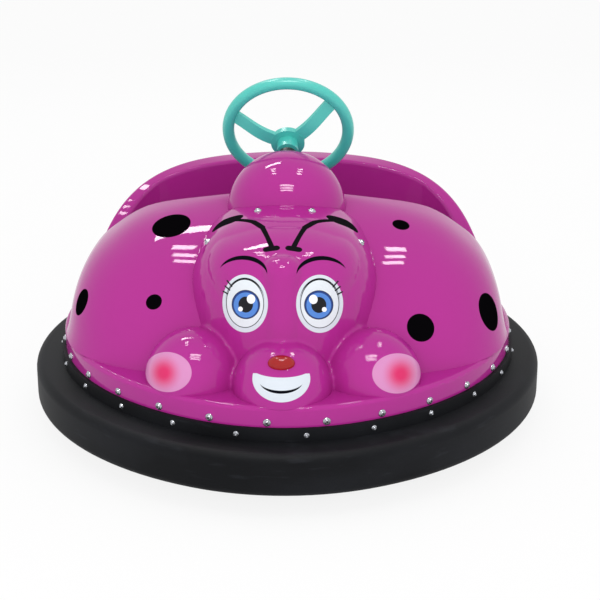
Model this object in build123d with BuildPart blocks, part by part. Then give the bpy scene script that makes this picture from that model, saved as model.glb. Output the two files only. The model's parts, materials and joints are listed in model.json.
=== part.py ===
"""Child's ladybird bumper car: a glass-fibre body on a steel chassis inside a rubber bumper ring.

Millimetres. +Z is up, the nose points to -Y and the origin is on the floor under the middle of the car.
"""

import os
from math import asin, atan2, copysign, cos, degrees, pi, radians, sin, sqrt, tan

from build123d import *

os.makedirs("parts", exist_ok=True)

# Overall plan of the bumper ring, a four-arc oval
HALF_WIDTH = 575
HALF_LENGTH = 625
END_SHIFT = 3  # distance of the end arcs' centres from the middle, over how much longer the oval is than wide

# Gaps
SEAT_GAP = 0.3  # between curved faces that seat on each other
TURN_GAP = 0.08  # round a turning shaft
FREE_GAP = 6  # between pieces that move past each other
PLAY = 0.4  # end play of a turning piece

# Steel hoop that carries the bumper and the body
HOOP_INSET = 74
HOOP_THICKNESS = 6
HOOP_BOTTOM = 51
HOOP_TOP = 194

# Bumper ring
BUMPER_BOTTOM = 46
BUMPER_TOP = 139
BUMPER_FLANGE_TOP = 167
BUMPER_FLANGE = 14
BUMPER_WALL = 13
BUMPER_TOP_FALL = 4  # fall of the ring's top towards its outer edge
BUMPER_TOP_ROUND = 20
BUMPER_FOOT_ROUND = 16
BUMPER_FOOT_LIP = 22  # lip turned in under the steel hoop

# Batteries, under the seat
BATTERY_X = 85
BATTERY_WIDTH = 77
BATTERY_LENGTH = 181
BATTERY_HEIGHT = 167
BATTERY_FRONT = 60
TRAY_BOTTOM = 84
TRAY_MARGIN = 8

# Body moulding
WALL = 6
SKIRT_INSET = 68
SKIRT_TOP = 210
SKIRT_ROUND = 9
# Hood: height, side inset and front inset of its level ovals, from the ledge to the crest
HOOD_LEVELS = (
    (210, 80, 230),
    (262, 93, 249),
    (312, 107, 279),
    (350, 125, 311),
    (381, 148, 344),
    (410, 181, 382),
    (436, 218, 426),
    (458, 265, 473),
    (473, 321, 515),
    (486, 397, 559),
    (496, 505, 599),
)
HOOD_BACK = 1.1  # its back reach, as a share of the half width
HOOD_EXPONENT = 3.1
HOOD_TOP = 500

# Cockpit opening
OPENING_INSET = 114
OPENING_FRONT = -12  # crest of the hood on the centre line
OPENING_FRONT_SIDE = 96  # the same edge where it meets the sides

# Seat moulding
TUB_INSET = 80
TUB_DRAFT = 4
TUB_FRONT = 130  # where its side walls meet the hood
LINER_INSET = 121
LINER_FRONT = 0
RIM_TOP = 464
RIM_LOW = 268
RIM_SLOPE = 45  # of the rim where it climbs to the tail
RIM_ARC_START = (216, 352)
RIM_NOTCH = 94
RIM_BLEND = 30
RIM_ROUND = 9
BACK_PANEL_X = 325
BACK_PANEL_SIDE = 334
BACK_PANEL_MIDDLE = 455
SEAT_TOP = 264
SEAT_WALL = 5
SEAT_FRONT = 42

# Face moulding and the round cover over the steering column
FACE_WALL = 5
# Head's three rises: half width, setback of front and back centres, top, crown radius, shoulder radius
BAND_FORM = (196, 375, 475, 517, 300, 140)
FACE_FORM = (166, 315, 410, 511, 280, 80)
BRIDGE_FORM = (42, 180, 285, 480, 60, 30)
MUZZLE_RADIUS = 101
MUZZLE_SETBACK = 185
CHEEK_RADIUS = 95
CHEEK_X = 182
CHEEK_SETBACK = 248
COVER_RADIUS = 131
COVER_CENTRE = -60
COVER_BASE = 472
COVER_TOP = 603
COVER_SKIRT = 450
NOSE_ANGLE = 35
NOSE_SIZE = (20, 13, 12)

# Steering
WHEEL_CENTRE_Y = 100
WHEEL_CENTRE_Z = 615
WHEEL_TILT = 62  # of the steering wheel's axis from the vertical
WHEEL_TURN = 10  # how far the wheel is turned, seen from the nose
GRIP_RADIUS = 136.5
GRIP_TUBE = 13.5
HUB_DEPTH = 40  # the hub sits this far in front of the rim
HUB_RADIUS = 38
HUB_THICKNESS = 13
BOSS_RADIUS = 24
BOSS_LENGTH = 28
SPOKE_WIDTH = 30
SPOKE_THICKNESS = 9
CAP_RADIUS = 27
CAP_THICKNESS = 7
COLUMN_RADIUS = 12.5
JACKET_RADIUS = 20

# Steered drive unit
PIVOT_Y = -220
DRIVE_RADIUS = 95
DRIVE_WIDTH = 40
LEG_GAP = 7  # from the tyre's side to the fork's leg
LEG_THICKNESS = 8
LEG_WIDTH = 50
CROWN_THICKNESS = 12
CROWN_RADIUS = 62
THRUST_RADIUS = 30
MOTOR_RADIUS = 36
MOTOR_LENGTH = 92
DRIVE_AXLE_RADIUS = 8

# Rear wheels
REAR_Y = 258
REAR_X = 290
REAR_RADIUS = 100
REAR_WIDTH = 44
REAR_AXLE_RADIUS = 12
JOURNAL_RADIUS = 10
REAR_AXLE_END = 332
WELL_LENGTH = 200
WELL_WIDTH = 64
WHEEL_RECESS = 2  # a hub's face inside its tyre's side
COLLAR_RADIUS = 18
COLLAR_LENGTH = 9
HUB_SHARE = 0.56  # of a wheel's radius
TYRE_ROUND = 9

# Chassis
TUBE = 40
TUBE_WALL = 3
RAIL_X = 185
FLOOR_THICKNESS = 3
PLATE = 4
HOUSING_RADIUS = 150
HOUSING_FLANGE = 174
HOUSING_HOLE = 142
HOUSING_TOP = 244
HOUSING_TOP_THICKNESS = 8
POST_RADIUS = 25
POST_WALL = 5
GEARBOX_RADIUS = 30
GEARBOX_FRONT = 32
GEARBOX_REAR = 74
FOOT_DROP = 81  # of the gearbox's foot below the crossing of column and post
SPINDLE_RADIUS = 14
SPINDLE_TOP = 403
COLUMN_END = 28
BRACKET_LENGTH = 56
PEDAL_X = -250
PEDAL_Y = -60
PEDAL_WIDTH = 80
PEDAL_LENGTH = 90
PEDAL_HEIGHT = 38
CROSS_MEMBERS = (-455, -58, 440)
MIDDLE_MEMBER = 265
OUTRIGGER = 120

FRAME_BOTTOM = REAR_RADIUS + REAR_AXLE_RADIUS + 6
FRAME_TOP = FRAME_BOTTOM + TUBE
FLOOR_TOP = FRAME_TOP + FLOOR_THICKNESS


# The ring's four-arc oval: end arcs and side arcs that meet on a common tangent
LONGER = HALF_LENGTH - HALF_WIDTH
SIDE_SHIFT = (2 * END_SHIFT - 1) / (2 * (END_SHIFT - 1))
END_CENTRE = END_SHIFT * LONGER
SIDE_CENTRE = SIDE_SHIFT * LONGER
END_RADIUS = HALF_LENGTH - END_CENTRE
SIDE_RADIUS = HALF_WIDTH + SIDE_CENTRE
JOINT_ANGLE = degrees(atan2(END_SHIFT, SIDE_SHIFT))
OVAL_POINTS = 32


def oval_line(inset):
    """The bumper's oval moved in by inset, starting at +X, drawn in the open BuildLine."""
    CenterArc((-SIDE_CENTRE, 0), SIDE_RADIUS - inset, 0, JOINT_ANGLE)
    CenterArc((0, END_CENTRE), END_RADIUS - inset, JOINT_ANGLE, 180 - 2 * JOINT_ANGLE)
    CenterArc((SIDE_CENTRE, 0), SIDE_RADIUS - inset, 180 - JOINT_ANGLE, 2 * JOINT_ANGLE)
    CenterArc((0, -END_CENTRE), END_RADIUS - inset, 180 + JOINT_ANGLE, 180 - 2 * JOINT_ANGLE)
    CenterArc((-SIDE_CENTRE, 0), SIDE_RADIUS - inset, 360 - JOINT_ANGLE, JOINT_ANGLE)


def oval_prism(inset, bottom, top, draft=0):
    """Upright prism on the bumper's oval moved in by inset."""
    with BuildPart(mode=Mode.PRIVATE) as prism:
        with BuildSketch(Plane.XY.offset(bottom)):
            with BuildLine():
                oval_line(inset)
            make_face()
        extrude(amount=top - bottom, taper=draft)
    return prism.part


def mound(levels, exponent, centre, back_exponent=2):
    """Loft through level ovals of (height, half width, front reach, back reach) about a place on the Y axis.

    Each oval is a superellipse of the given exponent in front and of back_exponent behind.
    """
    faces = []
    for height, half_width, front, back in levels:
        points = []
        for number in range(OVAL_POINTS):
            angle = 2 * pi * number / OVAL_POINTS
            reach, power = (back, 2 / back_exponent) if angle <= pi else (front, 2 / exponent)
            x = half_width * copysign(abs(cos(angle)) ** power, cos(angle))
            y = centre + reach * copysign(abs(sin(angle)) ** power, sin(angle))
            points.append((x, y))
        with BuildSketch(Plane.XY.offset(height), mode=Mode.PRIVATE) as level:
            with BuildLine():
                Spline(*points, periodic=True)
            make_face()
        faces.append(level.sketch.face())
    with BuildPart(mode=Mode.PRIVATE) as form:
        loft(sections=faces)
    return form.part


def vault(radius, front, back, top, crown, shoulder, skin=0):
    """Round-ended block along Y: upright sides, a shoulder arc and a crown arc, skin mm inside."""
    radius, top, crown, shoulder = radius - skin, top - skin, crown - skin, shoulder - skin
    base = SKIRT_TOP - 1
    shoulder_x = radius - shoulder
    shoulder_z = top - crown + sqrt((crown - shoulder) ** 2 - shoulder_x**2)
    turn = degrees(asin(shoulder_x / (crown - shoulder)))
    with BuildSketch(Plane.XZ, mode=Mode.PRIVATE) as section:
        with BuildLine():
            Line((radius, base), (radius, shoulder_z))
            CenterArc((shoulder_x, shoulder_z), shoulder, 0, 90 - turn)
            CenterArc((0, top - crown), crown, 90 - turn, turn)
            Polyline((0, top), (0, base), (radius, base))
        make_face()
    with BuildPart(mode=Mode.PRIVATE) as form:
        for place in (front, back):
            with BuildPart(mode=Mode.PRIVATE) as end:
                add(section.sketch)
                revolve(axis=Axis.Z)
            add(end.part.moved(Location((0, place, 0))))
        half = extrude(section.sketch, amount=back - front, dir=(0, 1, 0), mode=Mode.PRIVATE)
        half = half.moved(Location((0, front, 0)))
        add(half)
        add(mirror(half, about=Plane.YZ, mode=Mode.PRIVATE))
    return form.part


def hood_form(skin):
    """Solid hood, skin mm inside its outer surface."""
    levels = []
    for height, side_inset, front_inset in HOOD_LEVELS:
        half_width = HALF_WIDTH - side_inset
        front = HALF_LENGTH - front_inset
        low = skin if height > HOOD_LEVELS[1][0] else 0
        levels.append((height - low, half_width - skin, front - skin, HOOD_BACK * half_width - skin))
    return mound(levels, HOOD_EXPONENT, 0)


def across(y_low, y_high, z_low=0, z_high=900):
    """Block across the whole car between two places along it."""
    with BuildPart(mode=Mode.PRIVATE) as block:
        with BuildSketch(Plane.XY.offset(z_low)):
            with Locations((0, (y_low + y_high) / 2)):
                Rectangle(2.4 * HALF_WIDTH, y_high - y_low)
        extrude(amount=z_high - z_low)
    return block.part


def upright(radius, x, y, bottom, top):
    """Upright round bar."""
    with BuildPart(mode=Mode.PRIVATE) as bar:
        with BuildSketch(Plane.XY.offset(bottom)):
            with Locations((x, y)):
                Circle(radius)
        extrude(amount=top - bottom)
    return bar.part


def crosswise(radius, x_low, x_high, y, z):
    """Round bar along X."""
    with BuildPart(mode=Mode.PRIVATE) as bar:
        with BuildSketch(Plane.YZ.offset(x_low)):
            with Locations((y, z)):
                Circle(radius)
        extrude(amount=x_high - x_low)
    return bar.part


def box_between(x_low, x_high, y_low, y_high, z_low, z_high):
    """Box between two corners."""
    with BuildPart(mode=Mode.PRIVATE) as block:
        with BuildSketch(Plane.XY.offset(z_low)):
            with Locations(((x_low + x_high) / 2, (y_low + y_high) / 2)):
                Rectangle(x_high - x_low, y_high - y_low)
        extrude(amount=z_high - z_low)
    return block.part


# The steering wheel's plane: its z runs down the column towards the nose
WHEEL_NORMAL = (0, sin(radians(WHEEL_TILT)), cos(radians(WHEEL_TILT)))
WHEEL_PLANE = Plane(
    origin=(0, WHEEL_CENTRE_Y, WHEEL_CENTRE_Z),
    x_dir=(1, 0, 0),
    z_dir=(0, -WHEEL_NORMAL[1], -WHEEL_NORMAL[2]),
)
COLUMN_REACH = (WHEEL_CENTRE_Y - PIVOT_Y) / WHEEL_NORMAL[1]  # from the rim's plane to the pivot's axis
PIVOT_Z = WHEEL_CENTRE_Z - COLUMN_REACH * WHEEL_NORMAL[2]
GEARBOX_FOOT = PIVOT_Z - FOOT_DROP


def along_column(radius, start, end):
    """Round bar on the steering wheel's axis, between two distances from the rim's plane."""
    with BuildPart(mode=Mode.PRIVATE) as bar:
        with BuildSketch(WHEEL_PLANE.offset(start)):
            Circle(radius)
        extrude(amount=end - start)
    return bar.part


# Body: skirt, ledge and hood in one moulding
skirt_outer = oval_prism(SKIRT_INSET, BUMPER_FLANGE_TOP, SKIRT_TOP)
skirt_outer = fillet(skirt_outer.faces().sort_by(Axis.Z)[-1].edges(), SKIRT_ROUND)
skirt_inner = oval_prism(HOOP_INSET, BUMPER_FLANGE_TOP - 10, SKIRT_TOP - WALL)
before_tub = across(-HALF_LENGTH, TUB_FRONT)
hood_outer = hood_form(0) & before_tub
hood_inner = hood_form(WALL) & across(-HALF_LENGTH, TUB_FRONT + 1)
ledge_cut = (hood_inner & across(-HALF_LENGTH, 0, SKIRT_TOP - 1, SKIRT_TOP + WALL)).moved(Location((0, 0, -WALL)))
ledge_cut = ledge_cut + (oval_prism(OPENING_INSET, SKIRT_TOP - 2 * WALL, SKIRT_TOP) & across(0, HALF_LENGTH))
column_way = along_column(GEARBOX_RADIUS + 2, HUB_DEPTH, COLUMN_REACH + GEARBOX_FRONT + 2)
column_way = column_way + upright(POST_RADIUS + 4, 0, PIVOT_Y, GEARBOX_FOOT, PIVOT_Z)

with BuildPart() as opening:
    side_x = HALF_WIDTH - OPENING_INSET + 20
    with BuildSketch(Plane.XY.offset(FLOOR_TOP)):
        with BuildLine():
            ThreePointArc((-side_x, OPENING_FRONT_SIDE), (0, OPENING_FRONT), (side_x, OPENING_FRONT_SIDE))
            Polyline(
                (side_x, OPENING_FRONT_SIDE),
                (side_x, HALF_LENGTH),
                (-side_x, HALF_LENGTH),
                (-side_x, OPENING_FRONT_SIDE),
            )
        make_face()
    extrude(amount=HOOD_TOP)
    add(oval_prism(OPENING_INSET, FLOOR_TOP, HOOD_TOP + 100), mode=Mode.INTERSECT)

# What lies above the cockpit's rim, seen from the side
with BuildPart() as above_rim:
    slope = radians(RIM_SLOPE)
    arc_radius = (RIM_TOP - RIM_ARC_START[1]) / (1 - cos(slope))
    arc_end = RIM_ARC_START[0] + arc_radius * sin(slope)
    slope_foot = RIM_ARC_START[0] - (RIM_ARC_START[1] - RIM_LOW) / tan(slope)
    with BuildSketch(Plane.YZ) as rim_side:
        with BuildLine():
            Line((RIM_NOTCH, RIM_LOW), (slope_foot, RIM_LOW))
            Line((slope_foot, RIM_LOW), RIM_ARC_START)
            JernArc(RIM_ARC_START, (cos(slope), sin(slope)), arc_radius, -RIM_SLOPE)
            Polyline(
                (arc_end, RIM_TOP),
                (HALF_LENGTH, RIM_TOP),
                (HALF_LENGTH, HOOD_TOP + 100),
                (RIM_NOTCH - 60, HOOD_TOP + 100),
                (RIM_NOTCH - 60, RIM_LOW + 150),
                (RIM_NOTCH, RIM_LOW),
            )
        make_face()
        fillet(rim_side.vertices().group_by(Axis.Y)[0], RIM_BLEND)
    extrude(amount=HALF_WIDTH, both=True)

with BuildPart() as body_shell:
    add(skirt_outer)
    add(hood_outer)
    add(skirt_inner, mode=Mode.SUBTRACT)
    add(hood_inner, mode=Mode.SUBTRACT)
    add(ledge_cut, mode=Mode.SUBTRACT)
    add(opening.part, mode=Mode.SUBTRACT)
    add(above_rim.part, mode=Mode.SUBTRACT)
    add(column_way, mode=Mode.SUBTRACT)

# Seat moulding: a double-skinned rim round the back, its inner skin running down to the floor, and the bench
tub_reach = across(TUB_FRONT, HALF_LENGTH)
tub_outer = oval_prism(TUB_INSET, SKIRT_TOP, HOOD_TOP, TUB_DRAFT)
tub_hollow = oval_prism(TUB_INSET + WALL, SKIRT_TOP - 1, HOOD_TOP, TUB_DRAFT)
liner_outer = oval_prism(LINER_INSET, FLOOR_TOP, HOOD_TOP)
liner_inner = oval_prism(LINER_INSET + SEAT_WALL, FLOOR_TOP - 1, HOOD_TOP + 1)
rim_under = above_rim.part.moved(Location((0, 0, -WALL)))

with BuildPart() as back_panel:
    with BuildSketch(Plane.XY.offset(SEAT_TOP - SEAT_WALL)) as panel_plan:
        with BuildLine():
            arc = ThreePointArc(
                (-BACK_PANEL_X, BACK_PANEL_SIDE), (0, BACK_PANEL_MIDDLE), (BACK_PANEL_X, BACK_PANEL_SIDE)
            )
            Polyline(
                (BACK_PANEL_X, BACK_PANEL_SIDE),
                (BACK_PANEL_X, HALF_LENGTH),
                (-BACK_PANEL_X, HALF_LENGTH),
                (-BACK_PANEL_X, BACK_PANEL_SIDE),
            )
        make_face()
    extrude(amount=HOOD_TOP)
    add(liner_outer, mode=Mode.INTERSECT)
panel_hollow = back_panel.part.moved(Location((0, SEAT_WALL + 1, -WALL)))
panel_hollow = panel_hollow & liner_inner

with BuildPart() as seat_tub:
    add(tub_outer & tub_reach)
    add((liner_outer & tub_reach) - tub_outer)
    add(liner_outer & across(LINER_FRONT, TUB_FRONT, FLOOR_TOP, SKIRT_TOP - WALL))
    add(liner_inner, mode=Mode.SUBTRACT)
    add(back_panel.part)
    add(above_rim.part, mode=Mode.SUBTRACT)
    rim_edges = seat_tub.edges().filter_by(lambda edge: edge.bounding_box().min.Z > RIM_LOW - 2)
    fillet(rim_edges.filter_by(lambda edge: edge.bounding_box().size.Y > 1), RIM_ROUND)
    add((tub_hollow & across(TUB_FRONT + WALL, HALF_LENGTH)) - liner_outer - rim_under, mode=Mode.SUBTRACT)
    add(panel_hollow - rim_under, mode=Mode.SUBTRACT)
    add(liner_inner & across(SEAT_FRONT, HALF_LENGTH, SEAT_TOP - SEAT_WALL, SEAT_TOP))
    add(liner_inner & across(SEAT_FRONT, SEAT_FRONT + SEAT_WALL, FLOOR_TOP, SEAT_TOP))


# Face moulding: band, face, ridge and muzzle in one shell on the hood and its ledge, and the two cheeks
MUZZLE_CENTRE = MUZZLE_SETBACK - HALF_LENGTH
CHEEK_CENTRE = CHEEK_SETBACK - HALF_LENGTH


def face_form(skin):
    """The face's solid form, skin mm inside its outer surface."""
    with BuildPart(mode=Mode.PRIVATE) as form:
        for rise in (BAND_FORM, FACE_FORM, BRIDGE_FORM):
            radius, front_setback, back_setback, *arcs = rise
            add(vault(radius, front_setback - HALF_LENGTH, back_setback - HALF_LENGTH, *arcs, skin))
        with Locations((0, MUZZLE_CENTRE, SKIRT_TOP)):
            Sphere(MUZZLE_RADIUS - skin)
    return form.part


above_ledge = across(-HALF_LENGTH, OPENING_FRONT, SKIRT_TOP, HOOD_TOP + 200)
with BuildPart() as face_panel:
    add(face_form(0) & above_ledge)
    add(face_form(FACE_WALL), mode=Mode.SUBTRACT)
    add(hood_outer, mode=Mode.SUBTRACT)
    add(column_way, mode=Mode.SUBTRACT)

cheeks = []
for side in (-1, 1):
    with BuildPart() as cheek:
        with Locations((side * CHEEK_X, CHEEK_CENTRE, SKIRT_TOP)):
            Sphere(CHEEK_RADIUS)
            Sphere(CHEEK_RADIUS - FACE_WALL, mode=Mode.SUBTRACT)
        add(above_ledge, mode=Mode.INTERSECT)
        add(face_form(0), mode=Mode.SUBTRACT)
        add(hood_outer, mode=Mode.SUBTRACT)
    cheeks.append(cheek)

# Nose, let onto the muzzle
nose_y = MUZZLE_CENTRE - MUZZLE_RADIUS * cos(radians(NOSE_ANGLE))
nose_z = SKIRT_TOP + MUZZLE_RADIUS * sin(radians(NOSE_ANGLE))
nose_egg = scale(Solid.make_sphere(1), by=NOSE_SIZE)
with BuildPart() as nose:
    add(nose_egg.moved(Location((0, nose_y, nose_z), (90 - NOSE_ANGLE, 0, 0))))
    with Locations((0, MUZZLE_CENTRE, SKIRT_TOP)):
        Sphere(MUZZLE_RADIUS, mode=Mode.SUBTRACT)

# Round cover where the column comes out
with BuildPart() as cover_form:
    add(upright(COVER_RADIUS, 0, COVER_CENTRE, COVER_SKIRT, COVER_BASE))
    with Locations((0, COVER_CENTRE, COVER_BASE)):
        Sphere(COVER_RADIUS)
    add(upright(COVER_RADIUS - FACE_WALL, 0, COVER_CENTRE, COVER_SKIRT - 1, COVER_BASE), mode=Mode.SUBTRACT)
    with Locations((0, COVER_CENTRE, COVER_BASE)):
        Sphere(COVER_RADIUS - FACE_WALL, mode=Mode.SUBTRACT)
    add(across(-HALF_LENGTH, HALF_LENGTH, COVER_SKIRT, COVER_TOP + 100), mode=Mode.INTERSECT)

with BuildPart() as column_cover:
    add(cover_form.part)
    add(face_form(0), mode=Mode.SUBTRACT)
    add(hood_outer, mode=Mode.SUBTRACT)
    add(along_column(JACKET_RADIUS + SEAT_GAP, HUB_DEPTH, COLUMN_REACH), mode=Mode.SUBTRACT)


def oval_ring(profile):
    """Turn a face, drawn with x as minus the inset and y as the height, round the oval's four arcs."""
    with BuildPart(mode=Mode.PRIVATE) as ring:
        for centre, radius, start in (
            ((-SIDE_CENTRE, 0), SIDE_RADIUS, -JOINT_ANGLE),
            ((0, END_CENTRE), END_RADIUS, JOINT_ANGLE),
            ((SIDE_CENTRE, 0), SIDE_RADIUS, 180 - JOINT_ANGLE),
            ((0, -END_CENTRE), END_RADIUS, 180 + JOINT_ANGLE),
        ):
            turn = 2 * JOINT_ANGLE if centre[1] == 0 else 180 - 2 * JOINT_ANGLE
            along = (cos(radians(start)), sin(radians(start)), 0)
            plane = Plane(origin=(*centre, 0), x_dir=along, z_dir=(along[1], -along[0], 0))
            with BuildSketch(plane):
                with Locations((radius, 0)):
                    add(profile)
            revolve(axis=Axis((*centre, 0), (0, 0, 1)), revolution_arc=turn)
    return ring.part


# Rubber bumper: an open channel with a flange up the body and a lip under the hoop
with BuildSketch() as bumper_profile:
    with BuildLine():
        Polyline(
            (-HOOP_INSET - BUMPER_FOOT_LIP, BUMPER_BOTTOM),
            (0, BUMPER_BOTTOM),
            (0, BUMPER_TOP - BUMPER_TOP_FALL),
            (BUMPER_FLANGE - HOOP_INSET, BUMPER_TOP),
            (BUMPER_FLANGE - HOOP_INSET, BUMPER_FLANGE_TOP),
            (-HOOP_INSET, BUMPER_FLANGE_TOP),
            (-HOOP_INSET, BUMPER_TOP - BUMPER_WALL),
            (-BUMPER_WALL, BUMPER_TOP - BUMPER_TOP_FALL - BUMPER_WALL),
            (-BUMPER_WALL, BUMPER_BOTTOM + BUMPER_WALL),
            (-HOOP_INSET, BUMPER_BOTTOM + BUMPER_WALL),
            (-HOOP_INSET, HOOP_BOTTOM),
            (-HOOP_INSET - BUMPER_FOOT_LIP, HOOP_BOTTOM),
            close=True,
        )
    make_face()
    outer_corners = bumper_profile.vertices().group_by(Axis.X)[-1].sort_by(Axis.Y)
    fillet(outer_corners[0], BUMPER_FOOT_ROUND)
    outer_corners = bumper_profile.vertices().group_by(Axis.X)[-1].sort_by(Axis.Y)
    fillet(outer_corners[-1], BUMPER_TOP_ROUND)

with BuildPart() as bumper_ring:
    add(oval_ring(bumper_profile.sketch))

with BuildSketch() as hoop_profile:
    with Locations((-HOOP_INSET - HOOP_THICKNESS / 2, (HOOP_BOTTOM + HOOP_TOP) / 2)):
        Rectangle(HOOP_THICKNESS, HOOP_TOP - HOOP_BOTTOM)

with BuildPart() as bumper_hoop:
    add(oval_ring(hoop_profile.sketch))

# Chassis: square tubes let to the hoop
inside_hoop = oval_prism(HOOP_INSET + HOOP_THICKNESS, FRAME_BOTTOM - 10, FRAME_TOP + 10)


def chassis_tubes(skin):
    """The tubes' bars, skin mm inside their walls and open at the hoop."""
    half = TUBE / 2 - skin
    low, high = FRAME_BOTTOM + skin, FRAME_TOP - skin
    with BuildPart(mode=Mode.PRIVATE) as tubes:
        for x in (-RAIL_X, RAIL_X):
            add(box_between(x - half, x + half, -HALF_LENGTH, HALF_LENGTH, low, high))
        for y in CROSS_MEMBERS:
            add(box_between(-HALF_WIDTH, HALF_WIDTH, y - half, y + half, low, high))
        add(box_between(-RAIL_X, RAIL_X, MIDDLE_MEMBER - half, MIDDLE_MEMBER + half, low, high))
        for side in (-1, 1):
            x_low, x_high = sorted((side * RAIL_X, side * HALF_WIDTH))
            add(box_between(x_low, x_high, OUTRIGGER - half, OUTRIGGER + half, low, high))
    return tubes.part


with BuildPart() as chassis_frame:
    add(chassis_tubes(0) & inside_hoop)
    add(chassis_tubes(TUBE_WALL), mode=Mode.SUBTRACT)

# Floor, with a hole under the drive unit, wells for the rear wheels and a cut-out for the batteries
battery_side = BATTERY_X + BATTERY_WIDTH / 2 + TRAY_MARGIN
battery_rear = BATTERY_FRONT + BATTERY_LENGTH
with BuildPart() as floor_plate:
    with BuildSketch(Plane.XY.offset(FRAME_TOP)):
        with BuildLine():
            oval_line(HOOP_INSET + HOOP_THICKNESS)
        make_face()
        with Locations((0, PIVOT_Y)):
            Circle(HOUSING_HOLE, mode=Mode.SUBTRACT)
        with Locations((-REAR_X, REAR_Y), (REAR_X, REAR_Y)):
            RectangleRounded(WELL_WIDTH, WELL_LENGTH, 12, mode=Mode.SUBTRACT)
        with Locations((0, (BATTERY_FRONT + battery_rear) / 2)):
            RectangleRounded(2 * battery_side, BATTERY_LENGTH + 2 * TRAY_MARGIN, 8, mode=Mode.SUBTRACT)
    extrude(amount=FLOOR_THICKNESS)

# Battery tray between the rails, and the two batteries in it
tray_side = RAIL_X - TUBE / 2
with BuildPart() as battery_tray:
    tray_low = BATTERY_FRONT - TRAY_MARGIN
    tray_high = battery_rear + TRAY_MARGIN - 4
    add(box_between(-tray_side, tray_side, tray_low, tray_high, TRAY_BOTTOM, FRAME_TOP - 6))
    add(
        box_between(
            PLATE - tray_side, tray_side - PLATE, tray_low + PLATE, tray_high - PLATE, TRAY_BOTTOM + PLATE, FRAME_TOP
        ),
        mode=Mode.SUBTRACT,
    )

batteries = []
for side in (-1, 1):
    with BuildPart() as battery:
        low_x, high_x = side * BATTERY_X - BATTERY_WIDTH / 2, side * BATTERY_X + BATTERY_WIDTH / 2
        bottom = TRAY_BOTTOM + PLATE
        add(box_between(low_x, high_x, BATTERY_FRONT, battery_rear, bottom, bottom + BATTERY_HEIGHT))
        fillet(battery.edges().filter_by(Axis.Z), 4)
    batteries.append(battery)

# Rear axle, its brackets under the rails, and the wheels
rear_axle_place = (REAR_Y, REAR_RADIUS)
shoulder = REAR_X - REAR_WIDTH / 2 + WHEEL_RECESS - PLAY
with BuildPart() as rear_axle:
    add(crosswise(JOURNAL_RADIUS, -REAR_AXLE_END, REAR_AXLE_END, *rear_axle_place))
    chamfer(rear_axle.edges(), 1.5)
    add(crosswise(REAR_AXLE_RADIUS, -shoulder, shoulder, *rear_axle_place))

brackets = []
for side in (-1, 1):
    with BuildPart() as bracket:
        x_low = side * RAIL_X - TUBE / 2
        with BuildSketch(Plane.YZ.offset(x_low)) as bracket_side:
            with BuildLine():
                Polyline(
                    (REAR_Y - BRACKET_LENGTH / 2, FRAME_BOTTOM),
                    (REAR_Y - BRACKET_LENGTH / 2 + 8, REAR_RADIUS - 22),
                    (REAR_Y + BRACKET_LENGTH / 2 - 8, REAR_RADIUS - 22),
                    (REAR_Y + BRACKET_LENGTH / 2, FRAME_BOTTOM),
                    close=True,
                )
            make_face()
            with Locations(rear_axle_place):
                Circle(REAR_AXLE_RADIUS, mode=Mode.SUBTRACT)
        extrude(amount=TUBE)
    brackets.append(bracket)


def wheel_parts(x, y, radius, width, hub_radius, bore):
    """A hub and its tyre on an axle along X."""
    with BuildPart() as hub:
        half = width / 2 - WHEEL_RECESS
        with BuildSketch(Plane.XY) as hub_profile:
            with BuildLine():
                Polyline(
                    (-half, bore),
                    (half, bore),
                    (half, bore + 9),
                    (half - 10, bore + 12),
                    (half - 10, hub_radius - 8),
                    (half - 2, hub_radius),
                    (2 - half, hub_radius),
                    (10 - half, hub_radius - 8),
                    (10 - half, bore + 12),
                    (-half, bore + 9),
                    close=True,
                )
            make_face()
        revolve(axis=Axis.X)
    with BuildPart() as tyre:
        with BuildSketch(Plane.XY) as tyre_profile:
            with Locations((0, (radius + hub_radius) / 2)):
                Rectangle(width, radius - hub_radius)
            fillet(tyre_profile.vertices().group_by(Axis.Y)[-1], TYRE_ROUND)
        revolve(axis=Axis.X)
    place = Location((x, y, radius))
    return hub.part.moved(place), tyre.part.moved(place)


rear_wheels = [
    wheel_parts(side * REAR_X, REAR_Y, REAR_RADIUS, REAR_WIDTH, HUB_SHARE * REAR_RADIUS, JOURNAL_RADIUS + TURN_GAP)
    for side in (-1, 1)
]
drive_hub, drive_tyre = wheel_parts(0, PIVOT_Y, DRIVE_RADIUS, DRIVE_WIDTH, HUB_SHARE * DRIVE_RADIUS, DRIVE_AXLE_RADIUS)
collars = []
for side in (-1, 1):
    with BuildPart() as collar:
        inner = REAR_X + REAR_WIDTH / 2 - WHEEL_RECESS + PLAY
        x_low, x_high = sorted((side * inner, side * (inner + COLLAR_LENGTH)))
        add(crosswise(COLLAR_RADIUS, x_low, x_high, *rear_axle_place))
        add(crosswise(JOURNAL_RADIUS, x_low - 1, x_high + 1, *rear_axle_place), mode=Mode.SUBTRACT)
    collars.append(collar)

# Steered drive unit: fork, motor, axle and wheel
leg_inner = DRIVE_WIDTH / 2 + LEG_GAP
leg_outer = leg_inner + LEG_THICKNESS
crown_bottom = 2 * DRIVE_RADIUS + LEG_GAP
crown_top = crown_bottom + CROWN_THICKNESS
housing_under = HOUSING_TOP - HOUSING_TOP_THICKNESS
drive_place = (PIVOT_Y, DRIVE_RADIUS)

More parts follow.
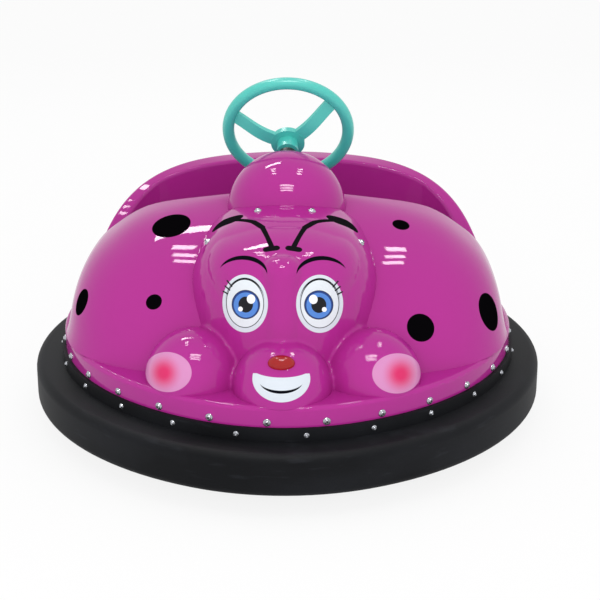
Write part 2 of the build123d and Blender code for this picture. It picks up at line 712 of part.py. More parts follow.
with BuildPart() as drive_fork:
    for side in (-1, 1):
        x_low, x_high = sorted((side * leg_inner, side * leg_outer))
        leg = crosswise(LEG_WIDTH / 2, x_low, x_high, *drive_place)
        add(leg)
        y_low, y_high = PIVOT_Y - LEG_WIDTH / 2, PIVOT_Y + LEG_WIDTH / 2
        add(box_between(x_low, x_high, y_low, y_high, DRIVE_RADIUS, crown_top))
    add(upright(CROWN_RADIUS, 0, PIVOT_Y, crown_bottom, crown_top))
    add(upright(THRUST_RADIUS, 0, PIVOT_Y, crown_top, housing_under - PLAY))
    add(upright(SPINDLE_RADIUS, 0, PIVOT_Y, crown_top, SPINDLE_TOP))
    bore = DRIVE_AXLE_RADIUS + TURN_GAP
    add(crosswise(bore, -leg_outer - 1, leg_outer + 1, *drive_place), mode=Mode.SUBTRACT)

with BuildPart() as drive_motor:
    add(crosswise(MOTOR_RADIUS, leg_outer, leg_outer + MOTOR_LENGTH, *drive_place))
    fillet(drive_motor.edges().group_by(Axis.X)[-1], 6)
    motor_socket = crosswise(bore, leg_outer - 1, leg_outer + COLLAR_LENGTH + 2, *drive_place)
    add(motor_socket, mode=Mode.SUBTRACT)

with BuildPart() as drive_axle:
    hub_side = DRIVE_WIDTH / 2 - WHEEL_RECESS
    add(crosswise(DRIVE_AXLE_RADIUS, -leg_outer - PLAY, leg_outer + COLLAR_LENGTH, *drive_place))
    add(crosswise(DRIVE_AXLE_RADIUS + 5, -leg_outer - PLAY - COLLAR_LENGTH, -leg_outer - PLAY, *drive_place))
    add(crosswise(DRIVE_AXLE_RADIUS + 4, hub_side, leg_inner - PLAY, *drive_place))
    add(crosswise(DRIVE_AXLE_RADIUS + 4, PLAY - leg_inner, -hub_side, *drive_place))

# Drum over the drive unit, the post on it and the gearbox on the post
with BuildPart() as drive_housing:
    add(upright(HOUSING_RADIUS, 0, PIVOT_Y, FLOOR_TOP, HOUSING_TOP))
    fillet(drive_housing.edges().group_by(Axis.Z)[-1], 10)
    add(upright(HOUSING_FLANGE, 0, PIVOT_Y, FLOOR_TOP, FLOOR_TOP + PLATE))
    add(upright(HOUSING_RADIUS - PLATE, 0, PIVOT_Y, FLOOR_TOP - 1, housing_under), mode=Mode.SUBTRACT)
    add(upright(SPINDLE_RADIUS + TURN_GAP, 0, PIVOT_Y, housing_under - 1, HOUSING_TOP + 1), mode=Mode.SUBTRACT)

with BuildPart() as steering_post:
    add(upright(POST_RADIUS, 0, PIVOT_Y, HOUSING_TOP, GEARBOX_FOOT))
    add(upright(POST_RADIUS - POST_WALL, 0, PIVOT_Y, HOUSING_TOP - 1, GEARBOX_FOOT + 1), mode=Mode.SUBTRACT)

with BuildPart() as steering_gearbox:
    add(along_column(GEARBOX_RADIUS, COLUMN_REACH - GEARBOX_REAR, COLUMN_REACH + GEARBOX_FRONT))
    add(upright(POST_RADIUS + 2, 0, PIVOT_Y, GEARBOX_FOOT, PIVOT_Z))
    column_bore = COLUMN_RADIUS + TURN_GAP
    socket_end = COLUMN_REACH - COLUMN_END + 1
    add(along_column(column_bore, COLUMN_REACH - GEARBOX_REAR - 1, socket_end), mode=Mode.SUBTRACT)
    spindle_bore = SPINDLE_RADIUS + TURN_GAP
    add(upright(spindle_bore, 0, PIVOT_Y, GEARBOX_FOOT - 1, SPINDLE_TOP + 1), mode=Mode.SUBTRACT)

jacket_start = HUB_DEPTH + HUB_THICKNESS / 2 + BOSS_LENGTH + FREE_GAP
with BuildPart() as column_jacket:
    add(along_column(JACKET_RADIUS, jacket_start, COLUMN_REACH - GEARBOX_REAR))
    add(along_column(column_bore, jacket_start - 1, COLUMN_REACH), mode=Mode.SUBTRACT)

# Steering wheel on its column
hub_face = HUB_DEPTH - HUB_THICKNESS / 2
hub_back = HUB_DEPTH + HUB_THICKNESS / 2
with BuildPart() as spoke:
    with BuildSketch(Plane.XZ):
        with BuildLine():
            Spline((HUB_RADIUS - 10, hub_face + 1), (GRIP_RADIUS - 4, -SPOKE_THICKNESS / 2), tangents=((1, 0), (1, -0.35)))
            Line((GRIP_RADIUS - 4, -SPOKE_THICKNESS / 2), (GRIP_RADIUS - 4, SPOKE_THICKNESS / 2))
            Spline((GRIP_RADIUS - 4, SPOKE_THICKNESS / 2), (HUB_RADIUS - 10, hub_back - 1), tangents=((-1, 0.35), (-1, 0)))
            Line((HUB_RADIUS - 10, hub_back - 1), (HUB_RADIUS - 10, hub_face + 1))
        make_face()
    extrude(amount=SPOKE_WIDTH / 2, both=True)

spokes = [
    WHEEL_PLANE.location * spoke.part.rotate(Axis.Z, WHEEL_TURN + 30 + 120 * number) for number in range(3)
]
grip = WHEEL_PLANE.location * Solid.make_torus(GRIP_RADIUS, GRIP_TUBE)
with BuildPart() as steering_wheel:
    add(grip)
    add(spokes)
    add(along_column(HUB_RADIUS, hub_face, hub_back))
    add(along_column(BOSS_RADIUS, hub_back, hub_back + BOSS_LENGTH))
    add(along_column(COLUMN_RADIUS, hub_face - 1, hub_back + BOSS_LENGTH + 1), mode=Mode.SUBTRACT)

with BuildPart() as hub_cap:
    add(along_column(CAP_RADIUS, hub_face - CAP_THICKNESS, hub_face))
    fillet(hub_cap.edges().filter_by(GeomType.CIRCLE).sort_by(Axis.Y)[-1], 3)

with BuildPart() as steering_column:
    add(along_column(COLUMN_RADIUS, hub_face, COLUMN_REACH - COLUMN_END))

# Foot pedal on the driver's right
with BuildPart() as foot_pedal:
    with BuildSketch(Plane.YZ.offset(PEDAL_X - PEDAL_WIDTH / 2)) as pedal_side:
        with BuildLine():
            Polyline(
                (PEDAL_Y, FLOOR_TOP),
                (PEDAL_Y - PEDAL_LENGTH, FLOOR_TOP),
                (PEDAL_Y - PEDAL_LENGTH, FLOOR_TOP + PEDAL_HEIGHT),
                (PEDAL_Y, FLOOR_TOP + 10),
                close=True,
            )
        make_face()
        fillet(pedal_side.vertices().group_by(Axis.Y)[-1], 4)
    extrude(amount=PEDAL_WIDTH)

nodes = {
    "body_shell": body_shell.part,
    "seat_tub": seat_tub.part,
    "face_panel": face_panel.part,
    "cheek_left": cheeks[1].part,
    "cheek_right": cheeks[0].part,
    "nose": nose.part,
    "column_cover": column_cover.part,
    "bumper_ring": bumper_ring.part,
    "bumper_hoop": bumper_hoop.part,
    "chassis_frame": chassis_frame.part,
    "floor_plate": floor_plate.part,
    "battery_tray": battery_tray.part,
    "battery_left": batteries[1].part,
    "battery_right": batteries[0].part,
    "rear_axle": rear_axle.part,
    "axle_bracket_left": brackets[1].part,
    "axle_bracket_right": brackets[0].part,
    "hub_rear_left": rear_wheels[1][0],
    "tyre_rear_left": rear_wheels[1][1],
    "hub_rear_right": rear_wheels[0][0],
    "tyre_rear_right": rear_wheels[0][1],
    "axle_collar_left": collars[1].part,
    "axle_collar_right": collars[0].part,
    "drive_hub": drive_hub,
    "drive_tyre": drive_tyre,
    "drive_axle": drive_axle.part,
    "drive_fork": drive_fork.part,
    "drive_motor": drive_motor.part,
    "drive_housing": drive_housing.part,
    "steering_post": steering_post.part,
    "steering_gearbox": steering_gearbox.part,
    "column_jacket": column_jacket.part,
    "steering_column": steering_column.part,
    "steering_wheel": steering_wheel.part,
    "hub_cap": hub_cap.part,
    "foot_pedal": foot_pedal.part,
}

if __name__ == "__main__":
    for name, item in nodes.items():
        solids = item.solids()
        print(name, round(item.volume), item.is_valid, len(solids))
        if len(solids) > 1:
            for solid in solids:
                print("   ", round(solid.volume), [round(v) for v in solid.center()])
        item.label = name
        export_step(item, "parts/" + name + ".step")
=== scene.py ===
"""Looks of a child's bumper car, a lesson in cells.

The car's solids come packed as a frame: glass-fibre body, rubber ring, steering, chassis and wheels. Each
cell dresses some of its pieces, or adds the small things that sit on them. Lengths are metres, +Z is up,
the nose points towards -Y and the driver's left is +X.
"""

# %% [markdown]
# ## The frame
# The solids are loaded first and keep their places. Each cell that follows gives some of them a finish or
# adds small parts. Spots, stickers, head screws and the head's rises have places chosen to match the
# photograph.

# %% Load the solids
import json
import math

import bpy
import numpy as np
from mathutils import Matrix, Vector
from mathutils.bvhtree import BVHTree


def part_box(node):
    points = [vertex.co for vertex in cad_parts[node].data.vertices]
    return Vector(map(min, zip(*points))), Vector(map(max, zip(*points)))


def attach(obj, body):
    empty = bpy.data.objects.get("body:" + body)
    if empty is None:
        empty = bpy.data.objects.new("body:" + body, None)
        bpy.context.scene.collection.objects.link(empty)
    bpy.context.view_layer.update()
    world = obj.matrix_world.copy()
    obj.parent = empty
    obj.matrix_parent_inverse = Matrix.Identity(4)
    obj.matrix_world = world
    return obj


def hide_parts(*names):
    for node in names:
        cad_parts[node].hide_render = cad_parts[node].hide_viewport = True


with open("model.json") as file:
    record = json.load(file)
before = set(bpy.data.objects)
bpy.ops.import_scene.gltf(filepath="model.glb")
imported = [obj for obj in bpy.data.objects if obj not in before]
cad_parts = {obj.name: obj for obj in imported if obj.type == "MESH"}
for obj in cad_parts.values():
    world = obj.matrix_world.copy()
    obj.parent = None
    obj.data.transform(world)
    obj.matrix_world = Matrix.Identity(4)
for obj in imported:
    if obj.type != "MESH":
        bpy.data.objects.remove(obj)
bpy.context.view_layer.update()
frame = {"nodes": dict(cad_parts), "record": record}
solids = frame["nodes"]


# %% [markdown]
# ## Sums on a surface
# A colour pattern on a real moulding is a place: a sticker is where the distance from its middle is
# small. Blender can work that out in its shader, one Math node for each sum. Wiring them by hand hides
# the sum, so a small class wraps a socket and lets Python's own operators add the nodes.

# %% A number that changes over a surface
class Amount:
    """One socket of a finish. An operator used on it adds a Math node and gives the node's output."""

    def __init__(self, finish, socket):
        self.finish = finish
        self.socket = socket

    def sum_of(self, operation, *values):
        """A Math node of the named operation on the values."""
        made = self.finish.node("ShaderNodeMath", {"operation": operation}, dict(enumerate(values)))
        return Amount(self.finish, made.outputs[0])

    def __add__(self, other):
        return self.sum_of("ADD", self, other)

    def __radd__(self, other):
        return self.sum_of("ADD", other, self)

    def __sub__(self, other):
        return self.sum_of("SUBTRACT", self, other)

    def __rsub__(self, other):
        return self.sum_of("SUBTRACT", other, self)

    def __mul__(self, other):
        return self.sum_of("MULTIPLY", self, other)

    def __rmul__(self, other):
        return self.sum_of("MULTIPLY", other, self)

    def __truediv__(self, other):
        return self.sum_of("DIVIDE", self, other)

    def __rtruediv__(self, other):
        return self.sum_of("DIVIDE", other, self)

    def __pow__(self, power):
        return self.sum_of("POWER", self, power)

    def __abs__(self):
        return self.sum_of("ABSOLUTE", self)

    def __or__(self, other):
        """The greater of the two, so that masks add up to one mask."""
        return self.sum_of("MAXIMUM", self, other)

    def within_one(self):
        """The amount, but never under 0 or over 1."""
        return self.sum_of("MINIMUM", self.sum_of("MAXIMUM", self, 0.0), 1.0)


# %% [markdown]
# ## Finishes
# A finish is a material with one Principled shader. Its fixed numbers, such as the gloss of a gel coat,
# are set on the shader's own sockets. What varies over the surface is fed in from sums on Object
# coordinates, which for these pieces are metres in the car's own frame.

# %% A finish
def paint(red, green, blue):
    """Colour as it is seen, 0 to 255 each, turned into the light values that Blender reckons with.

    With v the value over 255, light is v / 12.92 near black and ((v + 0.055) / 1.055) ** 2.4 above that.
    """
    seen = [value / 255 for value in (red, green, blue)]
    return tuple(v / 12.92 if v <= 0.04045 else ((v + 0.055) / 1.055) ** 2.4 for v in seen) + (1.0,)


class Finish:
    """A material for pieces of one stuff, and the means to vary it over their surface."""

    def __init__(self, name, colour, roughness, **gloss):
        self.material = bpy.data.materials.new(name)
        self.material.use_nodes = True
        self.tree = self.material.node_tree
        self.shader = self.tree.nodes["Principled BSDF"]
        self.set("Base Color", colour)
        self.set("Roughness", roughness)
        for socket, value in gloss.items():
            self.set(socket.replace("_", " "), value)

    def set(self, name, value):
        """Sets a socket of the shader to a value, or links an amount to it."""
        self.feed(self.shader.inputs[name], value)

    def feed(self, socket, value):
        """Links the value to the socket where it comes from a node, and else writes it in."""
        source = value.socket if isinstance(value, Amount) else value
        if isinstance(source, bpy.types.NodeSocket):
            self.tree.links.new(source, socket)
        else:
            socket.default_value = source

    def node(self, kind, settings, inputs):
        """Adds a node: its settings first, then a value or a link for each socket named."""
        made = self.tree.nodes.new(kind)
        for name, value in settings.items():
            setattr(made, name, value)
        for name, value in inputs.items():
            self.feed(made.inputs[name], value)
        return made

    def place(self):
        """The point on the surface, as a vector in the car's frame."""
        return self.node("ShaderNodeTexCoord", {}, {}).outputs["Object"]

    def split(self, place):
        """The x, y and z of a place as three amounts."""
        parts = self.node("ShaderNodeSeparateXYZ", {}, {0: place})
        return [Amount(self, parts.outputs[i]) for i in range(3)]

    def join(self, x, y, z):
        """The place that has this x, y and z."""
        return self.node("ShaderNodeCombineXYZ", {}, {0: x, 1: y, 2: z}).outputs[0]

    def vector(self, operation, *values):
        """A Vector Math node of the named operation on the values."""
        return self.node("ShaderNodeVectorMath", {"operation": operation}, dict(enumerate(values)))

    def distance(self, place, point):
        """The length of the way from one place to the other."""
        return Amount(self, self.vector("DISTANCE", place, point).outputs["Value"])

    def over(self, mask, under, upper):
        """The colour under where mask is 0 and upper where it is 1."""
        blend = self.node("ShaderNodeMix", {"data_type": "RGBA"}, {0: mask, 6: under, 7: upper})
        return blend.outputs[2]

    def grain(self, scale, detail=2.0, stretch=(1.0, 1.0, 1.0)):
        """Noise about 0.5 whose lumps are 1/scale metres across."""
        spot = self.vector("MULTIPLY", self.place(), stretch).outputs[0]
        made = self.node("ShaderNodeTexNoise", {}, {"Vector": spot, "Scale": scale, "Detail": detail})
        return Amount(self, made.outputs[0])

    def relief(self, height, depth):
        """Bends the light as if the surface rose by height times depth metres."""
        bump = self.node("ShaderNodeBump", {}, {"Height": height, "Distance": depth, "Strength": 1.0})
        self.set("Normal", bump.outputs[0])

    def wear(self, *names, slot):
        """Gives this finish to the named solids. The slot argument is not used."""
        for name in names:
            solids[name].data.materials.clear()
            solids[name].data.materials.append(self.material)


print("finish: a Principled shader, sums in Python")


# %% [markdown]
# ## The camera
# The photograph was taken from the front, a little above the car and some way off, so that the ring's
# ellipse is flat and the far rim hardly shrinks. The distance is chosen. The height, the turn and the lens
# were then fitted to the photograph by measured points.

# %% Camera
CAMERA_DISTANCE = 3.5
CAMERA_HEIGHT = 19.2
CAMERA_TURN = 0.9
LOOK_AT = Vector((0.0285, 0.0, 0.240))
LENS = 91.3

turn = math.radians(CAMERA_TURN)
height = math.radians(CAMERA_HEIGHT)
level = math.cos(height)
towards_camera = Vector((math.sin(turn) * level, -math.cos(turn) * level, math.sin(height)))
camera = bpy.data.objects.new("camera", bpy.data.cameras.new("camera"))
camera.data.lens = LENS
camera.data.sensor_width = 36.0
camera.location = LOOK_AT + towards_camera * CAMERA_DISTANCE
camera.rotation_mode = "QUATERNION"
camera.rotation_quaternion = (-towards_camera).to_track_quat("-Z", "Y")
bpy.context.scene.collection.objects.link(camera)
bpy.context.scene.camera = camera
print("camera at", [round(v, 3) for v in camera.location])


# %% [markdown]
# ## Light and floor
# Gel coat shows its shape by what it mirrors. In the photograph rows of long lamps overhead leave short
# bright bars on every dome. Short narrow area lamps in banks give bars like them. Three big soft lamps and
# the pale world give the even light. Each kind of lamp is kept out of the other kind's work, so that the
# bars add no light and the soft lamps no haze.

# %% Lamps
def lamp(name, centre, aim, size, power):
    """An area lamp of size (across, along) that looks from centre at aim."""
    light = bpy.data.lights.new(name, "AREA")
    light.shape = "RECTANGLE"
    light.size, light.size_y = size
    light.energy = power
    made = bpy.data.objects.new(name, light)
    made.location = centre
    made.rotation_mode = "QUATERNION"
    made.rotation_quaternion = (Vector(aim) - Vector(centre)).to_track_quat("-Z", "Y")
    bpy.context.scene.collection.objects.link(made)
    return made


def ceiling_bar(name, x, y, size, turn=0.0):
    """A lamp that looks straight down and shows only as a mirror image: power is glare times area."""
    made = lamp(name, (x, y, CEILING), (x, y, 0.0), size, GLARE * size[0] * size[1])
    made.rotation_mode = "XYZ"
    made.rotation_euler = (0.0, 0.0, turn)
    made.visible_diffuse = False


CEILING = 3.1
GLARE = 84
SIDE_BAR = (0.36, 0.13)
FRONT_BAR = (1.25, 0.17)
FAR_BAR = (1.1, 0.30)
for name, centre, size, power in (
    ("soft top", (0.0, -0.5, 3.2), (3.6, 3.0), 18),
    ("soft front", (0.0, -4.0, 2.0), (3.4, 1.8), 52),
    ("soft back", (0.0, 3.2, 2.2), (3.0, 1.6), 10),
):
    lamp(name, centre, (0.0, 0.0, 0.25), size, power).visible_glossy = False
for side in (-1, 1):
    for row in range(3):
        ceiling_bar(f"bar {side} {row}", side * 0.91, 0.05 + 0.29 * row, SIDE_BAR, side * 0.36)
for row in range(3):
    ceiling_bar(f"front bar {row}", 0.05, -2.05 + 0.32 * row, FRONT_BAR)
ceiling_bar("far bar", -0.95, 1.35, FAR_BAR)

# %% [markdown]
# ## White room and floor
# The photograph shows the car on plain white. A studio would hang a bent white sheet. A large flat square
# and a white world do the same here, because no fold of a sheet would show. The Light Path node tells what
# the camera and mirror images see from what falls on the car as light: the floor glows only for the first,
# and the world is brighter there.

# %% World and floor
ROOM_LIGHT = 0.80

world = bpy.data.worlds.new("white room")
bpy.context.scene.world = world
world.use_nodes = True
room = world.node_tree
path = room.nodes.new("ShaderNodeLightPath")
seen = path.outputs["Is Camera Ray"]
for kind in ("Is Glossy Ray", "Is Transmission Ray"):
    either = room.nodes.new("ShaderNodeMath")
    either.operation = "MAXIMUM"
    room.links.new(seen, either.inputs[0])
    room.links.new(path.outputs[kind], either.inputs[1])
    seen = either.outputs[0]
strength = room.nodes.new("ShaderNodeMapRange")
room.links.new(seen, strength.inputs["Value"])
strength.inputs["To Min"].default_value = ROOM_LIGHT
strength.inputs["To Max"].default_value = 1.0
background = room.nodes["Background"]
background.inputs["Color"].default_value = (1.0, 1.0, 1.0, 1.0)
room.links.new(strength.outputs["Result"], background.inputs["Strength"])

FLOOR_REACH = 14.0
FLOOR_GLOW = 0.86
floor_mesh = bpy.data.meshes.new("floor")
corners = [(x * FLOOR_REACH, y * FLOOR_REACH, 0.0) for x, y in ((-1, -1), (1, -1), (1, 1), (-1, 1))]
floor_mesh.from_pydata(corners, [], [(0, 1, 2, 3)])
floor = bpy.data.objects.new("floor", floor_mesh)
bpy.context.scene.collection.objects.link(floor)

floor_finish = Finish("white floor", (0.92, 0.92, 0.92, 1.0), 0.8, Specular_IOR_Level=0.0)
glow = floor_finish.node("ShaderNodeEmission", {}, {"Color": (1.0, 1.0, 1.0, 1.0), "Strength": 1.0})
rays = floor_finish.node("ShaderNodeLightPath", {}, {})
kinds = ("Is Camera Ray", "Is Glossy Ray", "Is Transmission Ray")
straight, glossy, through = [Amount(floor_finish, rays.outputs[kind]) for kind in kinds]
share = (straight | glossy | through) * FLOOR_GLOW
both = floor_finish.node(
    "ShaderNodeMixShader", {}, {0: share, 1: floor_finish.shader.outputs[0], 2: glow.outputs[0]}
)
outlet = floor_finish.tree.nodes["Material Output"]
floor_finish.feed(outlet.inputs["Surface"], both.outputs[0])
floor_mesh.materials.append(floor_finish.material)

view = bpy.context.scene.view_settings
view.view_transform = "Standard"
print("floor", 2 * FLOOR_REACH, "m square")


# %% [markdown]
# ## Pink gel coat and its black spots
# The body is glass fibre with a pink gel coat, polished, so it has a clear hard gloss over an even
# colour. A very faint unevenness of the mould bends its reflections a little. The round black spots are
# stickers: each is where the distance from a point on the body is under the spot's radius, with an edge
# 0.6 mm soft. The film of a sticker is duller than the coat, so the clear gloss falls off
# under the same mask. Only the outside has stickers: there the surface's direction and the way from the
# car's middle to the point have a dot product over 0.

# %% Gel coat
PINK = paint(174, 42, 141)
GLOSS = 0.75
SPOT_BLACK = paint(7, 6, 8)
EDGE = 0.0006
HEART_OF_HOOD = (0.0, 0.0, 0.10)

# Each spot has its middle and its radius.
SPOTS = {
    "hood right high": ((-0.250, -0.127, 0.456), 0.043),
    "hood right low": ((-0.273, -0.301, 0.339), 0.0175),
    "hood right edge": ((-0.443, -0.201, 0.303), 0.030),
    "hood left high": ((0.250, -0.122, 0.457), 0.019),
    "hood left low": ((0.285, -0.331, 0.296), 0.030),
    "hood left edge": ((0.441, -0.216, 0.291), 0.042),
    "tail left": ((0.380, 0.400, 0.340), 0.040),
    "tail right": ((-0.360, 0.418, 0.330), 0.034),
    "tail middle": ((0.060, 0.530, 0.360), 0.044),
    "side left": ((0.4590, 0.190, 0.262), 0.022),
    "side right": ((-0.4610, 0.170, 0.258), 0.018),
}


def clear_coat(name):
    """Pink gel coat: even colour, hard clear gloss, and a relief of 0.2 mm over lumps 12 cm across."""
    gloss = {"Coat_Weight": GLOSS, "Coat_Roughness": 0.035, "Coat_IOR": 1.38, "Specular_IOR_Level": 0.0}
    finish = Finish(name, PINK, 0.30, **gloss)
    finish.relief(finish.grain(8.0, 1.0), 0.0002)
    return finish


def disc(distance, radius, edge=EDGE):
    """1 nearer than radius and 0 farther: (radius - distance) over the edge's width, plus a half."""
    return ((radius - distance) / edge + 0.5).within_one()


shell_coat = clear_coat("pink gel coat with spots")
place = shell_coat.place()
spotted = None
for centre, radius in SPOTS.values():
    spot = disc(shell_coat.distance(place, centre), radius)
    spotted = spot if spotted is None else spotted | spot
facing = shell_coat.node("ShaderNodeNewGeometry", {}, {}).outputs["Normal"]
from_heart = shell_coat.vector("SUBTRACT", place, HEART_OF_HOOD).outputs[0]
outward = Amount(shell_coat, shell_coat.vector("DOT_PRODUCT", facing, from_heart).outputs["Value"])
spotted = spotted * (outward * 100.0).within_one()
shell_coat.set("Base Color", shell_coat.over(spotted, PINK, SPOT_BLACK))
shell_coat.set("Coat Weight", (1.0 - spotted) * GLOSS)
shell_coat.wear("body_shell", "seat_tub", slot="body")

plain_coat = clear_coat("pink gel coat")
plain_coat.wear("column_cover", slot="body")
print("spots:", len(SPOTS))


# %% [markdown]
# ## The face
# The moulded head is smooth, and its eyes, brows, feelers and smile are stickers. They are drawn as sums
# too: a flat drawing of ovals laid on from the front and a little above, so that it follows the curved
# moulding. Across is the distance from the middle, the same for both eyes, and up runs square to the
# direction of laying. The feelers lie on the top of the head, where such a drawing would stretch, so they
# are strokes in space instead.

# %% The drawing's tools
LAID_FROM = math.radians(19.2)
UP = (0.0, math.sin(LAID_FROM), math.cos(LAID_FROM))


def oval(across, up, centre, half, edge=EDGE):
    """1 inside an oval: the distance from its middle in half sizes, taken from 1, over the edge's width."""
    wide = (across - centre[0]) / half[0]
    high = (up - centre[1]) / half[1]
    reach = (wide * wide + high * high) ** 0.5
    return ((1.0 - reach) * (min(half) / edge) + 0.5).within_one()


def below(up, line, edge=EDGE):
    """1 under a level line and 0 over it: (line - up) over the edge's width, plus a half."""
    return ((line - up) / edge + 0.5).within_one()


def stroke(finish, place, start, end, half_width):
    """1 near the line from start to end, whose nearest point is the start plus a share of the way."""
    way = np.array(end) - np.array(start)
    along = way / np.dot(way, way)
    from_start = finish.vector("SUBTRACT", place, tuple(start)).outputs[0]
    dot = finish.vector("DOT_PRODUCT", from_start, tuple(along)).outputs["Value"]
    share = Amount(finish, dot).within_one()
    scaled = {0: tuple(way), "Scale": share}
    nearest = finish.node("ShaderNodeVectorMath", {"operation": "SCALE"}, scaled)
    return disc(finish.distance(from_start, nearest.outputs[0]), half_width)


def feeler(finish, place):
    """A bent stroke from the brow out to an oval club, and a short foot: the greatest of five strokes."""
    foot = (0.0225, -0.394, 0.4910)
    bend = (0.0440, -0.315, 0.508)
    knee = (0.0640, -0.280, 0.508)
    neck = (0.1000, -0.238, 0.500)
    drawn = stroke(finish, place, foot, bend, 0.0054)
    drawn = drawn | stroke(finish, place, bend, knee, 0.0068)
    drawn = drawn | stroke(finish, place, knee, neck, 0.0068)
    drawn = drawn | stroke(finish, place, (0.0130, -0.400, 0.4900), (0.0320, -0.402, 0.4880), 0.0078)
    return drawn | stroke(finish, place, (0.1090, -0.222, 0.495), (0.1370, -0.206, 0.480), 0.0235)


print("laid on from", round(math.degrees(LAID_FROM), 1), "degrees above level")

# %% [markdown]
# ## Stickers in layers
# Each sticker is a mask and a colour. They are laid one over the other as a printer lays inks, from the
# white round the eye to the glint in it. A picture could be laid on too, but sums stay sharp from near and
# the moulding needs no unwrapping. The lid and the brow are each one oval less another, and the lashes are
# three short strokes.

# %% Eyes, brows, smile and feelers
EYE = (0.0750, 0.2190)
STICKER_WHITE = paint(214, 221, 230)
EYE_WHITE = paint(226, 232, 238)
IRIS = paint(84, 136, 214)
IRIS_RIM = paint(34, 62, 128)
INK = paint(14, 15, 22)
SMILE_ENDS_AT = -0.40

face_coat = clear_coat("pink gel coat with a face")
place = face_coat.place()
x, y, z = face_coat.split(place)
across = abs(x)
both_sides = face_coat.join(across, y, z)
up = Amount(face_coat, face_coat.vector("DOT_PRODUCT", place, UP).outputs["Value"])

eye_outline = oval(across, up, EYE, (0.0392, 0.0488))
eye_white = oval(across, up, EYE, (0.0377, 0.0473))
layers = [
    (oval(across, up, EYE, (0.0470, 0.0580)), STICKER_WHITE),
    (eye_outline, INK),
    (eye_white, EYE_WHITE),
    (oval(across, up, (EYE[0] - 0.002, EYE[1] - 0.002), (0.0292, 0.0292)), INK),
    (oval(across, up, (EYE[0] - 0.002, EYE[1] - 0.002), (0.0280, 0.0280)), IRIS_RIM),
    (oval(across, up, (EYE[0] - 0.002, EYE[1] - 0.003), (0.0248, 0.0252)), IRIS),
    (oval(across, up, (EYE[0] - 0.002, EYE[1] - 0.002), (0.0150, 0.0160)), INK),
    (oval(across, up, (EYE[0] - 0.013, EYE[1] + 0.009), (0.0085, 0.0092)), (1.0, 1.0, 1.0, 1.0)),
    (oval(across, up, (EYE[0] + 0.009, EYE[1] - 0.011), (0.0048, 0.0048)), (1.0, 1.0, 1.0, 1.0)),
]
lid = oval(across, up, (EYE[0], EYE[1] + 0.004), (0.0400, 0.0475)) * (
    1.0 - oval(across, up, (EYE[0], EYE[1] + 0.0005), (0.0404, 0.0470))
)
layers.append((lid, INK))
for number in range(3):
    root = (0.1015 + 0.0045 * number, 0.2535 - 0.0075 * number)
    tip = (root[0] + 0.0095, root[1] + 0.0110 - 0.003 * number)
    flat = face_coat.join(across, up, 0.0)
    layers.append((stroke(face_coat, flat, (*root, 0.0), (*tip, 0.0), 0.0015), INK))
brow = oval(across, up, (0.0790, 0.2800), (0.0500, 0.0350)) * (
    1.0 - oval(across, up, (0.0820, 0.2700), (0.0540, 0.0365))
)
layers.append((brow, INK))
feelers = feeler(face_coat, both_sides)
layers.append((feelers, paint(24, 22, 26)))

smile_patch = oval(across, up, (0.0, 0.0720), (0.0570, 0.0460)) * below(up, 0.0820)
smile_patch = smile_patch * (1.0 - oval(across, up, (0.0, 0.0935), (0.0600, 0.0190)))
smile = oval(across, up, (0.0, 0.0680), (0.0430, 0.0250)) * below(up, 0.0680)
smile = smile * (1.0 - oval(across, up, (0.0, 0.0690), (0.0450, 0.0200)))
front = ((SMILE_ENDS_AT - y) / 0.01).within_one()
smile = smile * front
layers.append((smile_patch * front, STICKER_WHITE))
layers.append((smile, INK))

colour = PINK
for mask, laid in layers:
    colour = face_coat.over(mask, colour, laid)
face_coat.set("Base Color", colour)
face_coat.wear("face_panel", slot="body")
print("stickers on the face:", len(layers))

# %% [markdown]
# ## Blush and nose
# Each cheek carries an oval sticker, laid on from the front like the rest of the drawing. Its colour is
# deep rose round a heart and pale pink at the edge, by the distance from the heart, and the cubic
# 3 f f - 2 f f f takes the kinks out of the start and the end of that fade. The eye's outline, the brow,
# the feelers and the smile lose the clear gloss, as the spots do. The nose is a red button.

# %% Cheeks and nose
BLUSH_PALE = paint(212, 140, 190)
BLUSH_DEEP = paint(216, 44, 104)

BLUSH = (0.2310, 0.0805)
HEART = (0.2380, 0.0790)
HEART_RADIUS = 0.006
FADE_WIDTH = 0.036

from_heart = ((across - HEART[0]) ** 2.0 + (up - HEART[1]) ** 2.0) ** 0.5
fade = (1.0 - (from_heart - HEART_RADIUS) / FADE_WIDTH).within_one()
fade = fade * fade * (3.0 - 2.0 * fade)
blush = face_coat.over(fade, BLUSH_PALE, BLUSH_DEEP)
colour = face_coat.over(oval(across, up, BLUSH, (0.0510, 0.0400)), colour, blush)
face_coat.set("Base Color", colour)
inked = eye_outline * (1.0 - eye_white) | brow | feelers | smile
face_coat.set("Coat Weight", (1.0 - inked) * GLOSS)
face_coat.wear("cheek_left", "cheek_right", slot="body")

nose_gloss = {"Coat_Weight": GLOSS, "Coat_Roughness": 0.03, "Specular_IOR_Level": 0.0}
nose_coat = Finish("red gel coat", paint(158, 22, 20), 0.25, **nose_gloss)
nose_coat.wear("nose", slot="nose")
print("cheeks and nose done")

# %% [markdown]
# ## Rubber
# The ring is moulded black rubber, dull, dusty and scuffed in patches, with the fine pebble that a
# mould leaves. Dust is a noise with lumps 30 cm across, and scuffs are a finer one drawn out level. The
# wheels are solid grey-black rubber with shallow grooves round the tread, which are a relief here because
# nobody but a mechanic sees them.

